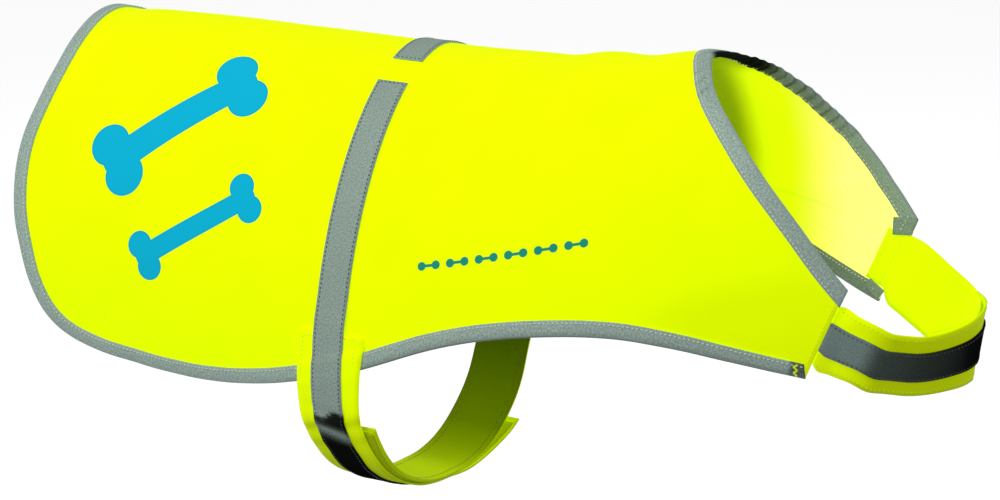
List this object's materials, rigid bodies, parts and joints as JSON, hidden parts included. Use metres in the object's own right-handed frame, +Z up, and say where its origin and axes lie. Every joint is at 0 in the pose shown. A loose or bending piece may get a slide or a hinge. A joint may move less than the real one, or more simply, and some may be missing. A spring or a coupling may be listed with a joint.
{
  "type": "dog safety vest",
  "caption": "Fluorescent dog safety vest with grey bound edges, reflective tape strips, and belly and chest straps closed with hook-and-loop, filled out as worn.",
  "frame": {"origin": "on the inner face of the back panel, on the spine line, above the middle of the belly straps", "axes": "+X towards the dog's head, +Y to the dog's left, +Z up"},
  "size_m": [0.5969, 0.2666, 0.3125],
  "materials": {
    "fluorescent_cloth": "fluorescent yellow woven polyester, dull",
    "reflective_tape": "silver-grey glass-bead reflective tape with a slight sheen",
    "hook_tape": "yellow woven nylon hook tape",
    "loop_tape": "yellow brushed nylon loop tape"
  },
  "bodies": {
    "root": {"back_panel": "fluorescent_cloth", "neck_binding": "reflective_tape", "hem_binding": "reflective_tape", "right_belly_strap": "fluorescent_cloth", "left_belly_strap": "fluorescent_cloth", "right_chest_strap": "fluorescent_cloth", "left_chest_strap": "fluorescent_cloth", "right_back_tape": "reflective_tape", "left_back_tape": "reflective_tape", "chest_tape": "reflective_tape", "belly_hook_patch": "hook_tape", "belly_loop_patch": "loop_tape", "chest_hook_patch": "hook_tape", "chest_loop_patch": "loop_tape"}
  },
  "joints": []
}
